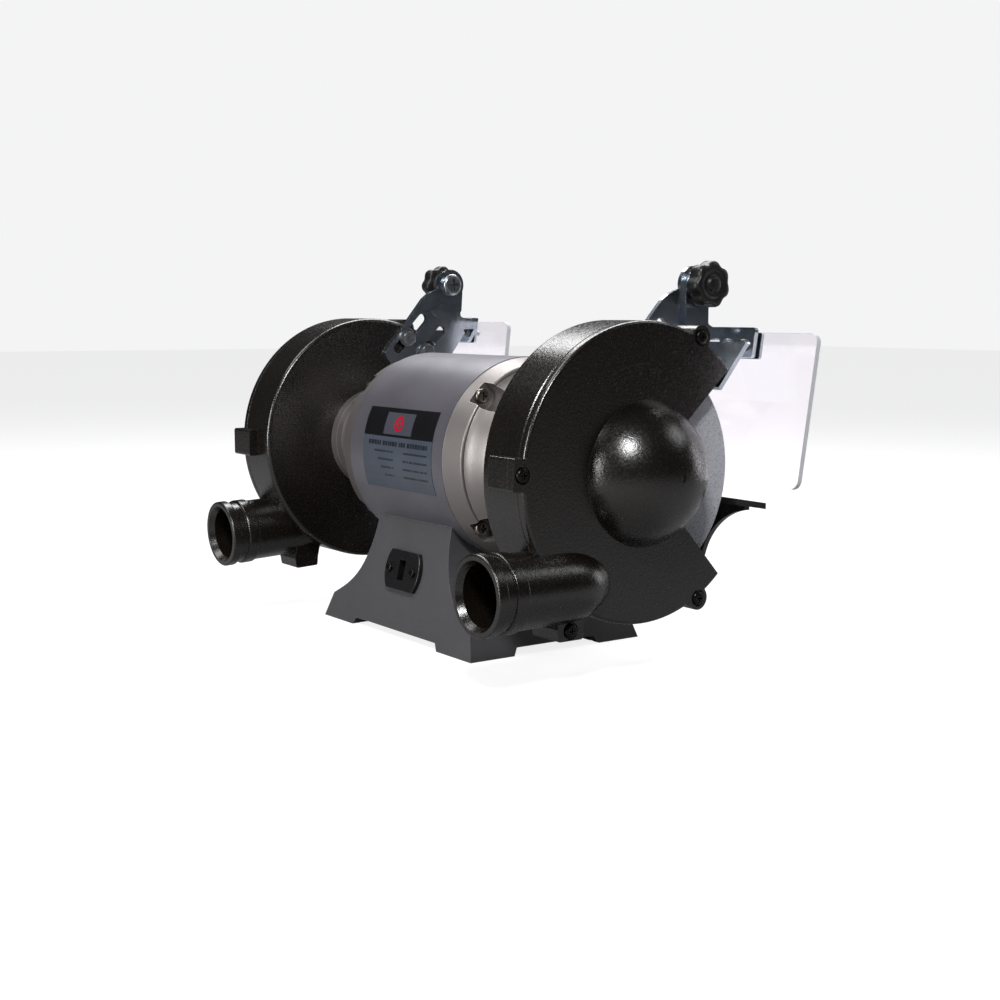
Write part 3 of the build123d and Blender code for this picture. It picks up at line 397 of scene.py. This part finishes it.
def blottingPaper(name, look):
    # compressed paper washer: fibres in a warm grey, fully matt
    material, tree, shader, place = startMaterial(name, Specular_IOR_Level=0.2)
    fibres = addNode(tree, "TexNoise", {"Vector": place, "Scale": 0.5 / 0.5, "Detail": 4.0, "Roughness": 0.7})
    colour = addNode(tree, "Mix", {0: fibres, 6: linear(look["dark"]), 7: linear(look["light"])}, 2,
                     data_type="RGBA")
    rough = addNode(tree, "MapRange", {"Value": fibres, "From Min": 0.3, "From Max": 0.7,
                                       "To Min": 0.85, "To Max": 0.98})
    bump = addNode(tree, "Bump", {"Height": fibres, "Strength": 0.4, "Distance": 0.1 * mm})
    finishMaterial(tree, shader, Base_Color=colour, Roughness=rough, Normal=bump)
    return material


flatEnamel = {"dark": "#131314", "light": "#1c1c1d", "gloss": (0.35, 0.5)}


def sheetEnamel(name, look):
    # black enamel sprayed on flat sheet: thin orange peel over the steel
    material, tree, shader, place = startMaterial(name, Specular_IOR_Level=0.4)
    peel = addNode(tree, "TexNoise", {"Vector": place, "Scale": 0.5 / 1.6, "Detail": 2.0, "Roughness": 0.55})
    colour = addNode(tree, "Mix", {0: peel, 6: linear(look["dark"]), 7: linear(look["light"])}, 2,
                     data_type="RGBA")
    rough = addNode(tree, "MapRange", {"Value": peel, "From Min": 0.3, "From Max": 0.7,
                                       "To Min": look["gloss"][0], "To Max": look["gloss"][1]})
    bump = addNode(tree, "Bump", {"Height": peel, "Strength": 0.15, "Distance": 0.08 * mm})
    finishMaterial(tree, shader, Base_Color=colour, Roughness=rough, Normal=bump)
    return material


finishes = {
    "guardBlack": castEnamel("sprayedBlackEnamel", blackEnamel),
    "restBlack": castEnamel("sprayedSatinBlackEnamel", restEnamel),
    "baseGrey": castEnamel("sprayedGreyEnamel", greyEnamel),
    "motorSilver": silverEnamel("sprayedFlakeEnamel", silverPaint),
    "bellSilver": bellEnamel("sprayedFlakeEnamelOnDieCasting", bellPaint),
    "zinc": zincSheet("electroplatedZinc", zincPlate),
    "abrasive": abrasiveGrit("vitrifiedAluminiumOxide", grit),
    "clearPane": clearPolycarbonate("extrudedPolycarbonate", pane),
    "copper": varnishedCopper("varnishedCopperWire", windings),
    "laminations": stackedSteel("punchedElectricalSteel", sheets),
    "paper": blottingPaper("compressedBlottingPaper", paper),
    "sheetBlack": sheetEnamel("sprayedSheetEnamel", flatEnamel),
}
finishes.update({name: turnedMetal(name, look) for name, look in screwFinishes.items()})
finishes.update({name: mouldedPlastic(name, look) for name, look in mouldings.items()})
finishes.update({name: printedFilm(name, look) for name, look in prints.items()})
print("finishes made:", len(finishes))

# which finish each of the record's slots takes
slotFinish = {
    "base_paint": "baseGrey", "motor_silver": "motorSilver", "bell_aluminium": "bellSilver",
    "guard_black": "guardBlack", "rest_black": "restBlack", "zinc_plate": "zinc", "zinc_screw": "zincScrew",
    "black_screw": "blackScrew", "nickel_screw": "nickelScrew", "abrasive": "abrasive",
    "bush_nylon": "nylonIvory",
    "blotter_paper": "paper", "clear_pane": "clearPane", "knob_black": "phenolicBlack",
    "fitting_black": "polyamideBlack", "rocker_red": "rockerRed", "label_film": "labelFilm",
    "core_steel": "laminations", "ground_steel": "groundSteel", "copper_wire": "copper",
    "cast_aluminium": "castAluminium", "sheet_steel": "sheetBlack", "capacitor_can": "capacitorCan",
    "terminal_nylon": "nylonIvory",
}
for entry in frame["record"]["subparts"]:
    slots = cadNodes[entry["node"]].data.materials
    slots.clear()
    slots.append(finishes[slotFinish[entry["material_slot"]]])

# width in millimetres of the broken edge on each kind of part, where the solid is drawn sharp
brokenEdges = {"base": 1.0, "tool_rest": 0.9, "spark_plate": 0.45, "shield_arm": 0.45, "shield_pane": 0.5,
               "clamp_plates": 0.3, "power_inlet": 0.5, "switch_housing": 0.5, "switch_rocker": 0.5}


def breakEdges(piece, width):
    # welds the imported triangles, rounds their sharp edges and keeps flats flat
    weld = piece.modifiers.new("weld", "WELD")
    weld.merge_threshold = 0.00001
    bevel = piece.modifiers.new("brokenEdge", "BEVEL")
    bevel.width = width * mm
    bevel.segments = 3
    bevel.limit_method = "ANGLE"
    bevel.angle_limit = math.radians(35)
    bevel.harden_normals = True
    piece.modifiers.new("flatNormals", "WEIGHTED_NORMAL").keep_sharp = True


for part, width in brokenEdges.items():
    for node in [n for n in cadNodes if n == part or n in (part + "_left", part + "_right")]:
        breakEdges(cadNodes[node], width)
print("edges broken")


def addPiece(name, verts, faces, finish, body, slotName, smooth=40):
    # a new mesh in the model's frame, riding on a body
    mesh = bpy.data.meshes.new(name)
    mesh.from_pydata([tuple(v) for v in verts], [], [tuple(f) for f in faces])
    mesh.validate()
    mesh.materials.append(finishes[finish])
    piece = bpy.data.objects.new(name, mesh)
    bpy.context.scene.collection.objects.link(piece)
    mesh.shade_smooth()
    mesh.set_sharp_from_angle(angle=math.radians(smooth))
    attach(piece, body)
    return piece


def loopFaces(rings, steps, closed=True):
    # quads between neighbouring rings of a turned shape
    faces = []
    count = rings if closed else rings - 1
    for i in range(count):
        for j in range(steps):
            a, b = i * steps + j, i * steps + (j + 1) % steps
            c, d = ((i + 1) % rings) * steps + (j + 1) % steps, ((i + 1) % rings) * steps + j
            faces.append((a, b, c, d))
    return faces


wheelLook = {"steps": 420, "pitch": 1.1, "roughness": 0.1, "cornerRadius": 0.8, "plainRadius": 33.0,
             "seed": 7}


def makeWheel(side):
    # dressed wheel: flat faces and rim with a real grit relief, smooth under the paper washers
    low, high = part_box("wheel_" + side)
    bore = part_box("wheel_bushes")[1].z - spindleZ
    radius = high.z - spindleZ
    corner = wheelLook["cornerRadius"] * mm
    pitch = wheelLook["pitch"] * mm
    face = np.arange(bore, radius - corner, pitch)
    rounding = [(corner * (1 - math.cos(a)), radius - corner * (1 - math.sin(a))) for a in (0, 0.5, 1.0, 1.5)]
    outline = [(low.x, r) for r in face]
    outline += [(low.x + inset, r) for inset, r in rounding]
    outline += [(x, radius) for x in np.arange(low.x + corner + pitch, high.x - corner, pitch)]
    outline += [(high.x - inset, r) for inset, r in rounding[::-1]]
    outline += [(high.x, r) for r in face[::-1]]
    outline = np.array(outline)
    steps = wheelLook["steps"]
    chance = np.random.default_rng(wheelLook["seed"])
    dents = chance.random((len(outline), steps)) * wheelLook["roughness"] * mm
    dents[outline[:, 1] < wheelLook["plainRadius"] * mm] = 0.0
    middle = (low.x + high.x) / 2
    angles = np.linspace(0, 2 * math.pi, steps, endpoint=False)
    onFace = (outline[:, 1] < radius - corner)[:, None]
    x = outline[:, :1] - np.where(onFace, np.sign(outline[:, :1] - middle) * dents, 0.0)
    r = outline[:, 1:] - np.where(onFace, 0.0, dents)
    verts = np.stack([x + 0 * angles, r * np.cos(angles), spindleZ + r * np.sin(angles)], axis=-1)
    faces = loopFaces(len(outline), steps)
    verts = verts.reshape(-1, 3)
    wheel = addPiece("grindingWheel_" + side, verts, faces, "abrasive", "rotor", "abrasive", 60)
    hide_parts("wheel_" + side)


# rings of (distance from the back, radius, depth of the hollows between lobes) in millimetres
knobRings = ((0, 4.1, 0), (0, 9.4, 0), (0.5, 10, 0), (2.4, 10, 0), (2.6, 10.6, 0.3), (2.7, 13.6, 1.2),
             (3.3, 14.6, 1.6), (4.2, 15.1, 1.9), (10.6, 15.1, 1.9), (12.0, 14.7, 1.8), (13.0, 13.6, 1.3),
             (13.5, 12.0, 0.6),
             (13.5, 9.4, 0.1), (13.1, 8.6, 0), (12.8, 8.0, 0), (12.8, 5.8, 0), (13.2, 5.3, 0), (14.0, 5.0, 0),
             (14.5, 4.4, 0), (14.7, 3.0, 0), (14.8, 0.3, 0))
knobLook = {"lobes": 7, "steps": 224, "sharpness": 1.3, "turn": 20.0}


def makeKnob(side, sign):
    # star grip: rounded lobes with hollows between them, a hub at the back and a raised boss in front
    low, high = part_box("knob_" + side)
    joint = next(j for j in frame["joints"] if j["name"] == "knob_turn_" + side)
    centreY, centreZ = joint["pos_m"][1], joint["pos_m"][2]
    back = low.x if sign > 0 else high.x
    steps = knobLook["steps"]
    verts = []
    for depth, radius, hollow in knobRings:
        for j in range(steps):
            a = 2 * math.pi * j / steps
            wave = (1 + math.cos(knobLook["lobes"] * (a - math.radians(knobLook["turn"])))) / 2
            r = (radius - hollow * wave ** knobLook["sharpness"]) * mm
            verts.append((back + sign * depth * mm, centreY + r * math.cos(a), centreZ + r * math.sin(a)))
    rings = len(knobRings)
    faces = loopFaces(rings, steps, closed=False)
    faces.append(tuple(range((rings - 1) * steps, rings * steps)))
    if sign > 0:
        faces = [f[::-1] for f in faces]
    knob = addPiece("starKnob_" + side, verts, faces, "phenolicBlack", "clamp_knob_" + side, "knob_black", 55)
    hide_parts("knob_" + side)


# angles are in degrees up from the rear, x and radii in millimetres
plate = {"shell": 68.0, "film": 68.33, "outer": 68.4, "ink": 0.03, "headerFoot": 10.9, "rowDegrees": 1.5,
         "patch": (-19.4, 15.7, 12.3, 25.3), "patchThick": 0.02, "badge": (-1.8, 18.8), "badgeThick": 0.04,
         "rings": ((0.0, 1.7), (3.4, 5.6)), "badgeSteps": 48, "seed": 3}
# rows of (angle, height, first x, last x, dash width): a title row, then two columns of small rows
plateRows = [(7.0, 2.6, -41, 35, 2.6)]
plateRows += [(2.4 - 4.6 * i, 1.1, x, x + w, 1.5) for i in range(4) for x, w in ((-41, 30), (1, 24 - 4 * i))]


def wrapPatch(x0, x1, a0, a1, inner, outer):
    # a thin block bent round the motor, in millimetres and degrees, 0 degrees at the rear and up positive
    rows = max(2, int(abs(a1 - a0) / plate["rowDegrees"]))
    verts, faces = [], []
    for r in (inner, outer):
        for i in range(rows + 1):
            a = math.radians(a0 + (a1 - a0) * i / rows)
            for x in (x0, x1):
                verts.append((x * mm, r * mm * math.cos(a), spindleZ + r * mm * math.sin(a)))
    half = 2 * (rows + 1)
    for i in range(rows):
        k = 2 * i
        faces.append((k, k + 1, k + 3, k + 2))
        faces.append((half + k, half + k + 2, half + k + 3, half + k + 1))
        faces.append((k, k + 2, half + k + 2, half + k))
        faces.append((k + 1, half + k + 1, half + k + 3, k + 3))
    last = 2 * rows
    faces.append((0, half, half + 1, 1))
    faces.append((last, last + 1, half + last + 1, half + last))
    return verts, faces


def makeBadge(inked):
    # a plain wheel badge, a disc inside a ring, raised a hair over the header
    middleX, middleAngle = plate["badge"]
    raised = inked + plate["badgeThick"]
    steps = plate["badgeSteps"]
    verts, faces = [], []
    for inner, outer in plate["rings"]:
        start = len(verts)
        for radius, height in ((inner, inked), (inner, raised), (outer, raised), (outer, inked)):
            for j in range(steps):
                turn = 2 * math.pi * j / steps
                a = math.radians(middleAngle) + radius * math.sin(turn) / height
                x = (middleX + radius * math.cos(turn)) * mm
                verts.append((x, height * mm * math.cos(a), spindleZ + height * mm * math.sin(a)))
        faces += [tuple(i + start for i in f) for f in loopFaces(4, steps, closed=inner > 0)]
        if inner == 0:  # the disc has no inner wall
            faces = [f for f in faces if max(f) >= start + 2 * steps or min(f) < start]
    addPiece("ratingPlateBadge", verts, faces, "labelRed", "frame", "label_film")


def makePlate():
    # rating plate: a black header with a grey patch and a badge, then rows of small printed dashes
    low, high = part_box("rating_label")
    left, right = low.x / mm, high.x / mm
    bottom, top = (math.degrees(math.asin((z - spindleZ) / (plate["outer"] * mm))) for z in (low.z, high.z))
    sheet = wrapPatch(left, right, bottom, top, plate["shell"], plate["film"])
    film = addPiece("ratingPlate", *sheet, "labelFilm", "frame", "label_film")
    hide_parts("rating_label")
    inked = plate["film"] + plate["ink"]
    header = wrapPatch(left, right, plate["headerFoot"], top, plate["film"], inked)
    addPiece("ratingPlateHeader", *header, "labelBlack", "frame", "label_film")
    patch = wrapPatch(*plate["patch"], inked, inked + plate["patchThick"])
    addPiece("ratingPlatePatch", *patch, "labelPatch", "frame", "label_film")
    makeBadge(inked)
    chance = np.random.default_rng(plate["seed"])
    verts, faces = [], []
    for angle, tall, start, end, dash in plateRows:
        x = start
        while x < end:
            width = dash * (0.6 + 0.7 * chance.random())
            ends = (x, min(x + width, end), angle - tall / 2, angle + tall / 2)
            dashVerts, dashFaces = wrapPatch(*ends, plate["film"], inked)
            faces += [tuple(i + len(verts) for i in f) for f in dashFaces]
            verts += dashVerts
            x += width + dash * (0.3 if chance.random() < 0.8 else 0.9)
    addPiece("ratingPlateRows", verts, faces, "labelInk", "frame", "label_film")


rockerMarks = {"tilt": -8.0, "slope": 0.235, "barSize": (0.9, 4.2), "ringRadius": 2.0, "ringWidth": 0.8,
               "rise": 0.12, "faceAt": 4.6, "valley": 1.8, "faceRise": 2.4, "faceRun": 8.6, "steps": 32}


def rockerPlace():
    # the rocker's own axes: X across, Y up the face, Z out of it
    joint = next(j for j in frame["joints"] if j["name"] == "switch_press")
    lean = math.radians(90 + rockerMarks["tilt"]) - math.atan(rockerMarks["slope"])
    return Matrix.Translation(Vector(joint["pos_m"])) @ Matrix.Rotation(lean, 4, "X")


def makeRockerMarks():
    # a bar for on above and a ring for off below, raised a hair on the two faces of the key
    place = rockerPlace()
    slope = math.atan2(rockerMarks["faceRise"], rockerMarks["faceRun"])
    faceAt = rockerMarks["faceAt"]
    height = rockerMarks["valley"] + rockerMarks["faceRise"] / rockerMarks["faceRun"] * faceAt
    steps = rockerMarks["steps"]
    for sign, name in ((1, "bar"), (-1, "ring")):
        tilt = Matrix.Rotation(sign * slope, 4, "X")
        seat = place @ Matrix.Translation(Vector((0, sign * faceAt, height)) * mm) @ tilt
        if sign > 0:
            w, h = (s / 2 for s in rockerMarks["barSize"])
            corners = ((-w, -h), (w, -h), (w, h), (-w, h))
            verts = [seat @ (Vector((x, y, z)) * mm) for z in (-0.1, rockerMarks["rise"]) for x, y in corners]
            faces = [(3, 2, 1, 0), (4, 5, 6, 7)]
            faces += [(i, (i + 1) % 4, (i + 1) % 4 + 4, i + 4) for i in range(4)]
        else:
            outer, inner = rockerMarks["ringRadius"], rockerMarks["ringRadius"] - rockerMarks["ringWidth"]
            rise = rockerMarks["rise"]
            verts = []
            for z, r in ((-0.1, outer), (rise, outer), (rise, inner), (-0.1, inner)):
                for j in range(steps):
                    a = 2 * math.pi * j / steps
                    verts.append(seat @ (Vector((r * math.cos(a), r * math.sin(a), z)) * mm))
            faces = loopFaces(4, steps)
        addPiece("rockerMark_" + name, verts, faces, "whitePrint", "rocker", "rocker_red")


# seat is the middle of the inlet on the rear of the base, the rest in the inlet's own axes
contact = {"seat": (0, 59.425, 45.0), "slope": 0.235, "half": (1.3, 3.7), "foot": -12.0, "tip": -1.5,
           "rounding": 0.5}


def makeContact():
    # the flat earth blade in the inlet's slot, plated, with a chamfered tip
    lean = Matrix.Rotation(math.atan(contact["slope"]) - math.radians(90), 4, "X")
    place = Matrix.Translation(Vector(contact["seat"]) * mm) @ lean
    w, h = contact["half"]
    c = contact["rounding"]
    verts = []
    for z, inset in ((contact["foot"], 0), (contact["tip"] - c, 0), (contact["tip"], c)):
        for a, b in ((-1, -1), (1, -1), (1, 1), (-1, 1)):
            verts.append(place @ (Vector((a * (w - inset), b * (h - inset), z)) * mm))
    faces = loopFaces(3, 4, closed=False) + [(3, 2, 1, 0), (8, 9, 10, 11)]
    addPiece("inletBlade", verts, faces, "zincScrew", "frame", "zinc_screw", 30)


for side, sign in sides.items():
    makeWheel(side)
    makeKnob(side, sign)
makeContact()
makePlate()
makeRockerMarks()
print("detail pieces made")

camera = {"position": (-0.85465, 0.5918, 0.21912), "azimuth": 234.375, "pitch": 7.076,
          "roll": 0.2, "lens": 53.33}
studio = {"ambient": "#aeb4c0", "ambientStrength": 0.07, "backdrop": "#f4f4f5", "floorGlow": 0.83,
          "floorSize": 16.0, "sheetDark": "#8b8b8d", "sheetLight": "#919192"}


def makeCamera():
    view = bpy.data.cameras.new("camera")
    view.lens = camera["lens"]
    view.sensor_width = 36
    view.clip_end = 60
    eye = bpy.data.objects.new("camera", view)
    bpy.context.scene.collection.objects.link(eye)
    heading = Matrix.Rotation(math.radians(camera["azimuth"]), 4, "Z")
    tilt = Matrix.Rotation(math.radians(90 - camera["pitch"]), 4, "X")
    roll = Matrix.Rotation(math.radians(camera["roll"]), 4, "Z")
    eye.matrix_world = Matrix.Translation(camera["position"]) @ heading @ tilt @ roll
    bpy.context.scene.camera = eye
    return eye


eye = makeCamera()
ahead = (eye.matrix_world.to_3x3() @ Vector((0, 0, -1)) * Vector((1, 1, 0))).normalized()
across = eye.matrix_world.to_3x3() @ Vector((1, 0, 0))

# softboxes: direction as (towards camera, to camera right, up), distance, width, height in metres, watts
softboxes = {
    "keyAbove": ((0.77, -0.04, 0.63), 1.5, 0.22, 0.22, 15),
    "stripLeft": ((0.6, -0.8, 0.15), 1.3, 0.2, 0.6, 9),
    "spotRight": ((0.0, 0.81, 0.59), 1.4, 0.5, 0.4, 1.5),
    "stripRight": ((-0.3, 0.95, 0.12), 1.3, 0.3, 0.5, 1.2),
    "topBack": ((-0.75, 0.1, 0.95), 1.5, 1.3, 0.6, 23),
    "topLeft": ((0.0, -0.65, 1.1), 1.5, 0.8, 0.7, 8),
}


def makeLights():
    target = Vector((0, 0, 0.13))
    for name, (toward, distance, width, height, power) in softboxes.items():
        lamp = bpy.data.lights.new(name, "AREA")
        lamp.shape = "RECTANGLE"
        lamp.size, lamp.size_y, lamp.energy = width, height, power
        spot = bpy.data.objects.new(name, lamp)
        bpy.context.scene.collection.objects.link(spot)
        direction = across * toward[1] - ahead * toward[0] + Vector((0, 0, toward[2]))
        spot.location = target + direction.normalized() * distance
        spot.rotation_euler = (target - spot.location).to_track_quat("-Z", "Y").to_euler()


def seenDirectly(tree):
    # 1 for what is seen directly or through the clear panes, 0 for what only lights the machine
    direct = addNode(tree, "LightPath", output="Is Camera Ray")
    depth = direct.node.outputs["Transmission Depth"]
    through = addNode(tree, "Math", {0: depth, 1: 0.5}, operation="GREATER_THAN")
    return addNode(tree, "Math", {0: direct, 1: through}, operation="MAXIMUM")


def makeWorld():
    # a pale backdrop with dim, slightly cool light round the machine
    world = bpy.data.worlds.new("studio")
    world.use_nodes = True
    tree = world.node_tree
    background = tree.nodes["Background"]
    seen = seenDirectly(tree)
    colour = addNode(tree, "Mix", {0: seen, 6: linear(studio["ambient"]), 7: linear(studio["backdrop"])}, 2,
                     data_type="RGBA")
    strength = addNode(tree, "MapRange", {"Value": seen, "To Min": studio["ambientStrength"]})
    finishMaterial(tree, background, Color=colour, Strength=strength)
    bpy.context.scene.world = world


def makeFloor():
    # a pale sheet that glows a little, so that it runs into the backdrop, and keeps the machine's shadow
    half = studio["floorSize"] / 2
    mesh = bpy.data.meshes.new("studioFloor")
    corners = [(-half, -half, 0), (half, -half, 0), (half, half, 0), (-half, half, 0)]
    mesh.from_pydata(corners, [], [(0, 1, 2, 3)])
    floor = bpy.data.objects.new("studioFloor", mesh)
    bpy.context.scene.collection.objects.link(floor)
    material, tree, shader, place = startMaterial("paleFloor", Roughness=0.8, Specular_IOR_Level=0.1)
    seen = seenDirectly(tree)
    mottle = addNode(tree, "TexNoise", {"Vector": place, "Scale": 0.5 / 60, "Detail": 3.0, "Roughness": 0.55})
    sheet = addNode(tree, "Mix", {0: mottle, 6: linear(studio["sheetDark"]), 7: linear(studio["sheetLight"])},
                    2, data_type="RGBA")
    glow = addNode(tree, "MapRange", {"Value": seen, "To Min": 0.03, "To Max": studio["floorGlow"]})
    finishMaterial(tree, shader, Base_Color=sheet, Emission_Strength=glow)
    shader.inputs["Emission Color"].default_value = linear("#ffffff")
    mesh.materials.append(material)
    floor.location.z = cadBox[0].z


makeWorld()
makeLights()
makeFloor()
bpy.context.scene.view_settings.view_transform = "Standard"
print("studio set")
